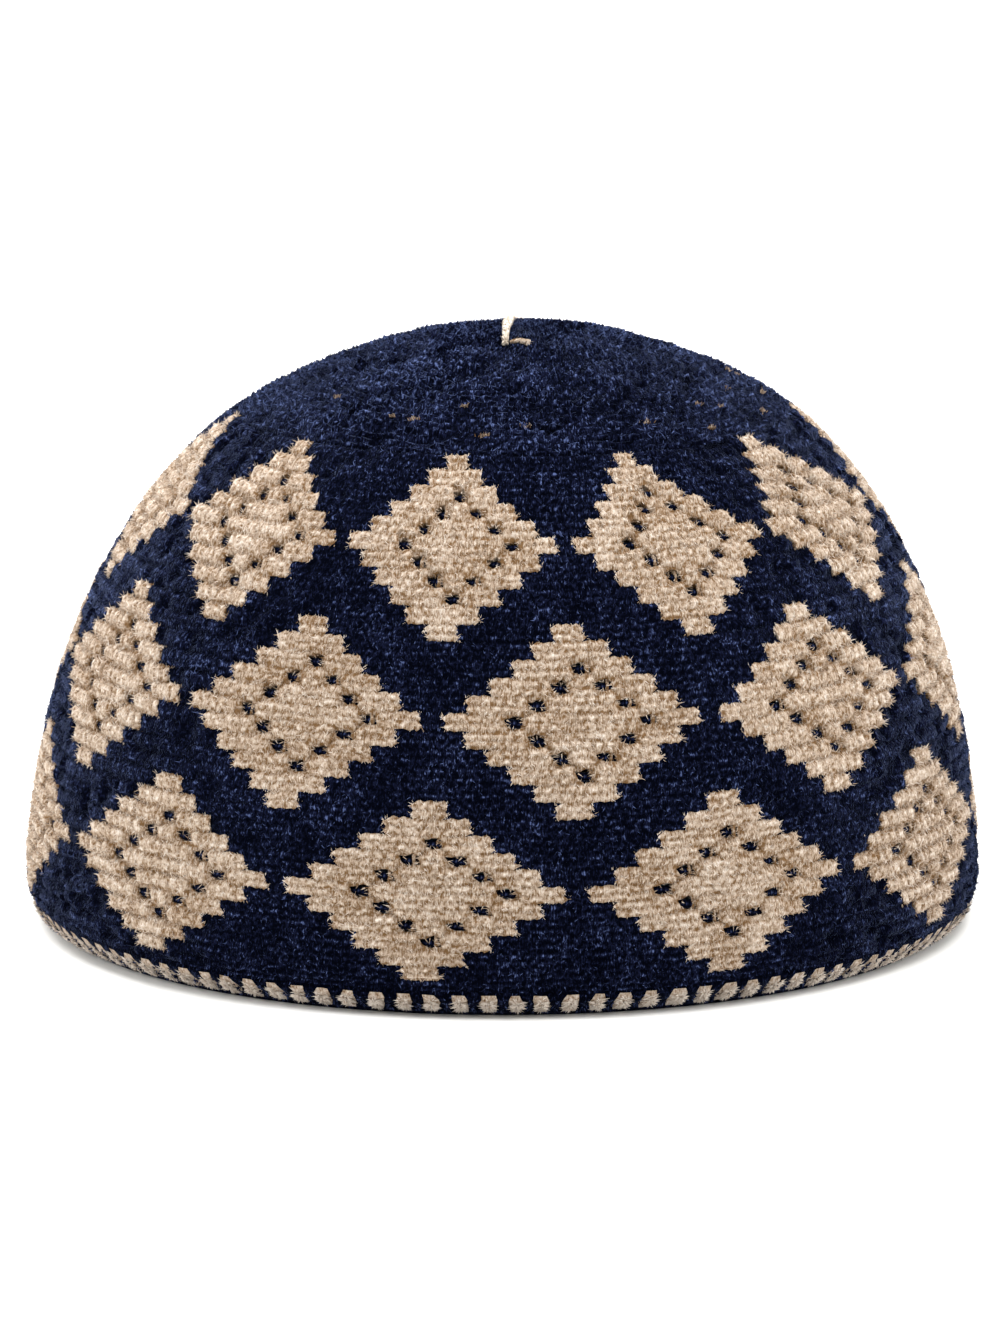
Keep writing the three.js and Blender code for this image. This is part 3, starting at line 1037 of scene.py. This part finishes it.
def thread(points, pitch, helix, ply, rise, rng):
    """Two plies twisted round a run of points and pressed flat to a rise, with a little fuzz."""
    upright = np.array((0.0, 0.0, 1.0))
    length = arc_lengths(points)
    tangent = unit(np.gradient(points, axis=0))
    side = unit(np.cross(tangent, upright))
    across = np.cross(side, tangent)
    parts = []
    for start in (0.0, math.pi):
        angle = start + math.tau * length / pitch
        wave = times(np.cos(angle), side) + times(rise * np.sin(angle), across)
        centre = points + times(helix, wave)
        strand = tube(centre, ply, upright, THREAD_SIDES, THREAD_TONE)
        parts.append(strand._replace(tone=strand.tone + bumps(strand.corners, *THREAD_GRAIN)))
        fuzz = rng.integers(1, len(points) - 1, FUZZ * int(length[-1]))
        ray = rng.normal(size=(len(fuzz), 3))
        ray[:, 2] = np.abs(ray[:, 2])
        ray = unit(ray)
        base = centre[fuzz] + times(FUZZ_FOOT * ply[fuzz], ray)
        sweep = ray + FUZZ_SWEEP * tangent[fuzz]
        tip = base + times(rng.uniform(*FUZZ_LENGTHS, len(fuzz)), sweep)
        place = loose_places(len(fuzz), rng)
        parts.append(spikes(base, tip, np.full(len(fuzz), FUZZ_WIDTH), place, 0.0, rng))
    return parts


def toned(part, share, extra):
    """The part with its tone times a share, and some more."""
    return part._replace(tone=share * part.tone + extra)


def add_piece(name, parts, material):
    """Add one piece, made of parts."""
    corners = np.concatenate([part.corners for part in parts])
    corners[:, 2] = np.maximum(corners[:, 2], 0.0)
    starts = np.cumsum([0] + [len(part.corners) for part in parts[:-1]])
    faces = [start + triangles(part.faces) for start, part in zip(starts, parts)]
    faces = np.concatenate(faces).astype(np.int32)
    tone = np.concatenate([part.tone for part in parts])
    places = np.concatenate([triangles(part.places) for part in parts])
    mesh = bpy.data.meshes.new(name)
    mesh.vertices.add(len(corners))
    mesh.vertices.foreach_set("co", (corners * MM).astype(np.float32).ravel())
    mesh.loops.add(faces.size)
    mesh.loops.foreach_set("vertex_index", faces.ravel())
    mesh.polygons.add(len(faces))
    mesh.polygons.foreach_set("loop_start", np.arange(0, faces.size, 3, dtype=np.int32))
    mesh.update(calc_edges=True)
    mesh.attributes.new("tone", "FLOAT", "POINT")
    mesh.attributes["tone"].data.foreach_set("value", tone.astype(np.float32))
    mesh.uv_layers.new(name="fabric")
    mesh.uv_layers["fabric"].data.foreach_set("uv", places.astype(np.float32).ravel())
    mesh.materials.append(material)
    piece = bpy.data.objects.new(name, mesh)
    bpy.context.collection.objects.link(piece)
    bpy.ops.object.select_all(action="DESELECT")
    piece.select_set(True)
    bpy.context.view_layer.objects.active = piece
    bpy.ops.object.shade_smooth_by_angle(angle=SMOOTH_ANGLE)
    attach(piece, "root")
    return piece


def add_node(tree, kind, values):
    """A shader node with the given values on its sockets."""
    node = tree.nodes.new("ShaderNode" + kind)
    for socket, value in values.items():
        node.inputs[socket].default_value = value
    return node


def yarn_material(name, colours, sheen, dashes, contrast, darkening):
    """Chenille or thread: the tone of the mesh, mottled by its pile and by patches."""
    material = bpy.data.materials.get(name) or bpy.data.materials.new(name)
    material.use_nodes = True
    tree = material.node_tree
    tree.nodes.clear()
    output = add_node(tree, "OutputMaterial", {})
    finish = {
        "Roughness": 0.8,
        "Specular IOR Level": 0.0,
        "Sheen Weight": sheen,
        "Sheen Roughness": 0.25,
        "Sheen Tint": (*(channel**SHEEN_PALENESS for channel in colours[-1]), 1.0),
    }
    yarn = add_node(tree, "BsdfPrincipled", finish)
    tone = add_node(tree, "Attribute", {})
    tone.attribute_name = "tone"
    fabric = add_node(tree, "UVMap", {})
    fabric.uv_map = "fabric"
    space = add_node(tree, "TexCoord", {})
    patches = add_node(tree, "TexNoise", {"Scale": 210.0, "Detail": 2.0})
    tree.links.new(space.outputs["Object"], patches.inputs["Vector"])
    grains = []
    for stretch, detail in ((dashes, 2.0), (FINE_STRETCH, 3.0)):
        mapping = add_node(tree, "Mapping", {"Scale": (*stretch, 1.0)})
        grain = add_node(tree, "TexNoise", {})
        grain.noise_dimensions = "2D"
        grain.inputs["Scale"].default_value = 1.0
        grain.inputs["Detail"].default_value = detail
        tree.links.new(fabric.outputs["UV"], mapping.inputs["Vector"])
        tree.links.new(mapping.outputs["Vector"], grain.inputs["Vector"])
        grains.append(grain)
    total = tone.outputs["Fac"]
    weights = (DASH_WEIGHT, FINE_WEIGHT, PATCH_WEIGHT)
    for source, weight in zip((*grains, patches), weights):
        step = add_node(tree, "Math", {1: weight * contrast})
        step.operation = "MULTIPLY_ADD"
        tree.links.new(source.outputs["Fac"], step.inputs[0])
        tree.links.new(total, step.inputs[2])
        total = step.outputs["Value"]
    centred = add_node(tree, "Math", {1: GRAIN_MIDDLE * contrast + darkening})
    centred.operation = "SUBTRACT"
    ramp = add_node(tree, "ValToRGB", {})
    stops = ramp.color_ramp.elements
    stops.new(COLOUR_TONES[1])
    for stop, place, yarn_colour in zip(stops, COLOUR_TONES, colours):
        stop.position = place
        stop.color = (*yarn_colour, 1.0)
    bump = add_node(tree, "Bump", {"Strength": 0.8, "Distance": 0.0003})
    tree.links.new(total, centred.inputs[0])
    tree.links.new(centred.outputs["Value"], ramp.inputs["Fac"])
    tree.links.new(ramp.outputs["Color"], yarn.inputs["Base Color"])
    tree.links.new(grains[0].outputs["Fac"], bump.inputs["Height"])
    tree.links.new(bump.outputs["Normal"], yarn.inputs["Normal"])
    tree.links.new(yarn.outputs["BSDF"], output.inputs["Surface"])
    return material


def navy_chenille(settings):
    """The navy yarn: dark, with a sheen on its pile."""
    colours = (settings.navy_shadow, settings.navy_body, settings.navy_light)
    return yarn_material(
        "Navy Chenille", colours, sheen=0.55, dashes=(3.4, 1.1), contrast=1.5, darkening=0.07
    )


def beige_chenille(settings):
    """The beige yarn: its pile is mottled less."""
    colours = (settings.beige_shadow, settings.beige_body, settings.beige_light)
    return yarn_material(
        "Beige Chenille", colours, sheen=0.3, dashes=(3.4, 1.1), contrast=1.12, darkening=-0.07
    )


def pale_thread(settings):
    """The loose end: smoother, and grained along its plies."""
    colours = (settings.thread_shadow, settings.thread_body, settings.thread_light)
    return yarn_material(
        "Pale Thread", colours, sheen=0.15, dashes=(1.0, 4.0), contrast=1.1, darkening=0.0
    )


def colour(name, description, red, green, blue):
    """A colour property whose default is given in sRGB values up to 255."""
    channels = []
    for value in (red, green, blue):
        share = value / 255
        channels.append(share / 12.92 if share <= 0.04045 else ((share + 0.055) / 1.055) ** 2.4)
    return bpy.props.FloatVectorProperty(
        name=name, description=description, subtype="COLOR", min=0.0, max=1.0, default=channels
    )


def number(name, description, default, low, high, unit="NONE"):
    """A number property with limits."""
    return bpy.props.FloatProperty(
        name=name, description=description, default=default, min=low, max=high, unit=unit
    )


def power(name, description, watts):
    """A property for the power of a softbox."""
    return number(name, description, watts, 0.0, 500.0, "POWER")


def spot(name, description, place):
    """A property for a place in the studio."""
    return bpy.props.FloatVectorProperty(
        name=name, description=description, subtype="TRANSLATION", unit="LENGTH", default=place
    )


class KufiYarnSettings(bpy.types.PropertyGroup):
    """Yarns of the kufi."""

    navy_shadow: colour("Navy Shadow", "Navy yarn deep between the strands", 3, 4, 11)
    navy_body: colour("Navy", "Navy yarn", 18, 22, 42)
    navy_light: colour("Navy Tips", "Tips of the navy fibres", 78, 91, 131)
    beige_shadow: colour("Beige Shadow", "Beige yarn deep between the strands", 104, 78, 52)
    beige_body: colour("Beige", "Beige yarn", 166, 149, 132)
    beige_light: colour("Beige Tips", "Tips of the beige fibres", 206, 196, 186)
    thread_shadow: colour("Thread Shadow", "Loose thread in its twist", 112, 97, 80)
    thread_body: colour("Thread", "Loose thread", 186, 174, 160)
    thread_light: colour("Thread Tips", "Fuzz of the loose thread", 232, 226, 217)
    fibre_reach: number(
        "Fibre Reach", "Reach of the pile from the middle of a strand, in millimetres", 1.1, 0.7, 1.5
    )
    navy_pile: number("Navy Pile", "Navy fibres on a square millimetre", 1.03, 0.0, 1.05)
    beige_pile: number("Beige Pile", "Beige fibres on a square millimetre", 2.4, 0.0, 2.45)
    unevenness: number("Unevenness", "How uneven the hand work is", 1.0, 0.0, 1.5)
    seed: bpy.props.IntProperty(
        name="Seed", description="Number that the scatter of the fibres starts from", default=7, min=0
    )


class KufiStudioSettings(bpy.types.PropertyGroup):
    """Studio around the kufi."""

    camera_place: spot("Camera", "Place of the camera", (-0.0005, -1.5337, 0.3546))
    camera_aim: spot("Aim", "Point that the camera looks at", (-0.0005, 0.0, 0.0487))
    lens: number("Lens", "Focal length of the camera, in millimetres", 215.8, 50.0, 500.0)
    top_power: power("Top Light", "Power of the softbox above", 38.0)
    left_power: power("Left Light", "Power of the softbox on the left", 14.3)
    right_power: power("Right Light", "Power of the softbox on the right", 13.2)
    rim_power: power("Rim Light", "Power of the softbox behind on the left", 39.6)
    back_power: power("Back Light", "Power of the softbox over the floor behind", 26.0)
    room_light: number("Room Light", "Strength of the light from all round", 0.43, 0.0, 5.0)
    floor_colour: colour("Floor", "Colour of the floor", 238, 238, 236)


class KUFI_OT_studio(bpy.types.Operator):
    """Set up the camera, the lights and the floor"""

    bl_idname = "kufi.studio"
    bl_label = "Studio"

    def execute(self, context):
        settings = context.scene.kufi_studio
        place = Vector(settings.camera_place)
        bpy.ops.object.camera_add(
            location=place, rotation=self.facing(place, Vector(settings.camera_aim))
        )
        camera = context.object
        camera.name = "studio_camera"
        camera.data.lens = settings.lens
        camera.data.clip_start = 0.01
        context.scene.camera = camera
        for box in SOFTBOXES:
            bpy.ops.object.light_add(
                type="AREA", location=box.place, rotation=self.facing(box.place, box.lit)
            )
            light = context.object
            light.name = "softbox_" + box.side
            light.data.size = box.width
            light.data.energy = getattr(settings, box.side + "_power")
        world = bpy.data.worlds.new("Room")
        world.use_nodes = True
        background = world.node_tree.nodes["Background"]
        background.inputs["Color"].default_value = (1.0, 1.0, 1.0, 1.0)
        background.inputs["Strength"].default_value = settings.room_light
        context.scene.world = world
        context.scene.view_settings.view_transform = "Standard"
        self.add_floor(context, settings)
        return {"FINISHED"}

    def facing(self, place, target):
        """The rotation of a camera or light at a place that looks at a target."""
        return (Vector(target) - Vector(place)).to_track_quat("-Z", "Y").to_euler()

    def add_floor(self, context, settings):
        """A round floor whose edge curves up into a low wall."""
        bpy.ops.mesh.primitive_circle_add(vertices=FLOOR_SIDES, radius=FLOOR_RADIUS, fill_type="NGON")
        floor = context.object
        floor.name = "studio_floor"
        bpy.ops.object.mode_set(mode="EDIT")
        bpy.ops.mesh.select_all(action="SELECT")
        bpy.ops.mesh.inset(thickness=FLOOR_EDGE)
        bpy.ops.mesh.select_all(action="INVERT")
        bpy.ops.object.mode_set(mode="OBJECT")
        for vertex in floor.data.vertices:
            vertex.select = vertex.co.xy.length > EDGE_START
        bpy.ops.object.mode_set(mode="EDIT")
        for rise, spread in EDGE_STEPS:
            bpy.ops.mesh.extrude_region_move(TRANSFORM_OT_translate={"value": (0, 0, rise)})
            bpy.ops.transform.resize(value=(spread, spread, 1.0))
        bpy.ops.object.mode_set(mode="OBJECT")
        bpy.ops.object.shade_smooth()
        paint = bpy.data.materials.new("Studio Floor")
        paint.use_nodes = True
        coat = paint.node_tree.nodes["Principled BSDF"]
        coat.inputs["Base Color"].default_value = (*settings.floor_colour, 1.0)
        coat.inputs["Roughness"].default_value = 0.9
        floor.data.materials.append(paint)


class KUFI_OT_yarn_end(bpy.types.Operator):
    """Lay the loose end of yarn over the crown, and the stitch beside its foot"""

    bl_idname = "kufi.yarn_end"
    bl_label = "Loose Yarn End"

    def execute(self, context):
        settings = context.scene.kufi_yarn
        rng = np.random.default_rng(settings.seed)
        points = crown_curve(TAIL_ROUTE, TAIL_POINTS)
        opening = smooth_step(np.linspace(0, 1, len(points)), *OPENING_PLACE)
        helix, rise = TAIL_HELIX + TAIL_OPENING * opening, 1 - TAIL_FLATTENING * opening
        parts = thread(points, TAIL_PITCH, helix, np.full(len(points), TAIL_PLY), rise, rng)
        tail = add_piece("tail", parts, pale_thread(settings))
        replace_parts(tail, "yarn_tail")
        points = crown_curve(STITCH_ROUTE, STITCH_POINTS)
        size = np.linspace(*STITCH_SIZES, len(points))
        helix, ply, rise = STITCH_HELIX * size, STITCH_PLY * size, STITCH_RISE * size
        parts = thread(points, STITCH_PITCH, helix, ply, rise, rng)
        parts = [toned(part, STITCH_SHADE, 0.0) for part in parts]
        stitch = add_piece("tail_knot", parts, beige_chenille(settings))
        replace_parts(stitch, "tail_stitch")
        return {"FINISHED"}


class KUFI_OT_ground(bpy.types.Operator):
    """Crochet the navy ground in three bands, and the crown"""

    bl_idname = "kufi.ground"
    bl_label = "Navy Ground"

    def execute(self, context):
        settings = context.scene.kufi_yarn
        material = navy_chenille(settings)
        rng = np.random.default_rng(settings.seed + 1)
        pile = (settings.navy_pile, settings.fibre_reach, rng)
        net = wall_net(settings.unevenness, GROUND_PUFFINESS, GROUND_PITTING)
        taken = eyelet_mask()
        for _, first, middle in diamonds():
            taken |= diamond_mask(first, middle)
        limits = (FIRST_ROUND, *(first for _, first, _ in DIAMOND_ROWS[1:]), FIRST_ROUND + ROUNDS)
        for (row, start, _), first, last in zip(DIAMOND_ROWS, limits, limits[1:]):
            mask = ~taken
            mask[: row_of(first)] = False
            mask[row_of(last) :] = False
            parts = net.fabric(mask, *pile)
            for _, low, middle in diamonds():
                if low == start:
                    parts.extend(carried_yarn(net, *at, rng) for at in eyelets(low, middle))
            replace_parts(add_piece("ground_" + row, parts, material), "crown")
        mask = np.ones((CROWN_ROUNDS * ROWS, CROWN_COLUMNS), dtype=bool)
        parts = crown_net(settings.unevenness).fabric(mask, *pile)
        # Painted light: the crown's tone is raised, as if it were lit more from above.
        parts = [toned(part, 1.0, CROWN_PAINTED_LIGHT) for part in parts]
        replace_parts(add_piece("ground_top", parts, material), "crown")
        add_piece("flecks", [fleck_pile(rng)], beige_chenille(settings))
        return {"FINISHED"}


class KUFI_OT_diamonds(bpy.types.Operator):
    """Crochet the thirty beige diamonds with their eyelets"""

    bl_idname = "kufi.diamonds"
    bl_label = "Beige Diamonds"

    def execute(self, context):
        settings = context.scene.kufi_yarn
        material = beige_chenille(settings)
        rng = np.random.default_rng(settings.seed + 2)
        net = wall_net(settings.unevenness, DIAMOND_PUFFINESS, DIAMOND_PITTING)
        holes = eyelet_mask()
        for name, first, middle in diamonds():
            mask = diamond_mask(first, middle) & ~holes
            parts = net.fabric(mask, settings.beige_pile, settings.fibre_reach, rng)
            for at in eyelets(first, middle):
                parts.extend(post(net, *at, rng))
                parts.append(lashes(net, *at, rng))
            motif = add_piece(name.replace("diamond", "motif"), parts, material)
            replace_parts(motif, name)
        return {"FINISHED"}


class KUFI_OT_edging(bpy.types.Operator):
    """Crochet the checked edging and its lip"""

    bl_idname = "kufi.edging"
    bl_label = "Checked Edging"

    def execute(self, context):
        settings = context.scene.kufi_yarn
        reach = settings.fibre_reach
        rng = np.random.default_rng(settings.seed + 3)
        net = edging_net(settings.unevenness)
        mask = check_mask()
        # Painted light: the checks' tone is raised where the edging curves in under the cap.
        parts = [toned(net.shell(mask), 1.0, CHECK_PAINTED_LIGHT), star_pile(BEIGE_STAR, reach, rng)]
        checks = add_piece("edging_checks", parts, beige_chenille(settings))
        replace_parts(checks, "edging")
        parts = [net.shell(~mask), star_pile(NAVY_STAR, reach, rng), lip_pile(reach, rng)]
        ground = add_piece("edging_ground", parts, navy_chenille(settings))
        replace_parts(ground, "edging")
        return {"FINISHED"}


class KUFI_PT_panel(bpy.types.Panel):
    """Buttons and settings of the kufi"""

    bl_idname = "KUFI_PT_panel"
    bl_label = "Crocheted Kufi"
    bl_space_type = "VIEW_3D"
    bl_region_type = "UI"
    bl_category = "Kufi"

    def draw(self, context):
        """Draw a button for each operator, and the settings below them."""
        layout = self.layout
        for operator in OPERATORS:
            layout.operator(operator.bl_idname)
        for settings in (context.scene.kufi_yarn, context.scene.kufi_studio):
            box = layout.box()
            for name in settings.__annotations__:
                box.prop(settings, name)


OPERATORS = (
    KUFI_OT_studio,
    KUFI_OT_yarn_end,
    KUFI_OT_ground,
    KUFI_OT_diamonds,
    KUFI_OT_edging,
)
CLASSES = (KufiYarnSettings, KufiStudioSettings, *OPERATORS, KUFI_PT_panel)


def register():
    """Register the add-on."""
    for cls in CLASSES:
        bpy.utils.register_class(cls)
    bpy.types.Scene.kufi_yarn = bpy.props.PointerProperty(type=KufiYarnSettings)
    bpy.types.Scene.kufi_studio = bpy.props.PointerProperty(type=KufiStudioSettings)


def unregister():
    """Unregister the add-on."""
    del bpy.types.Scene.kufi_studio
    del bpy.types.Scene.kufi_yarn
    for cls in reversed(CLASSES):
        bpy.utils.unregister_class(cls)


def main():
    """Build the kufi and its studio."""
    register()
    bpy.ops.kufi.studio()
    bpy.ops.kufi.yarn_end()
    bpy.ops.kufi.ground()
    bpy.ops.kufi.diamonds()
    bpy.ops.kufi.edging()


if __name__ == "__main__":
    main()
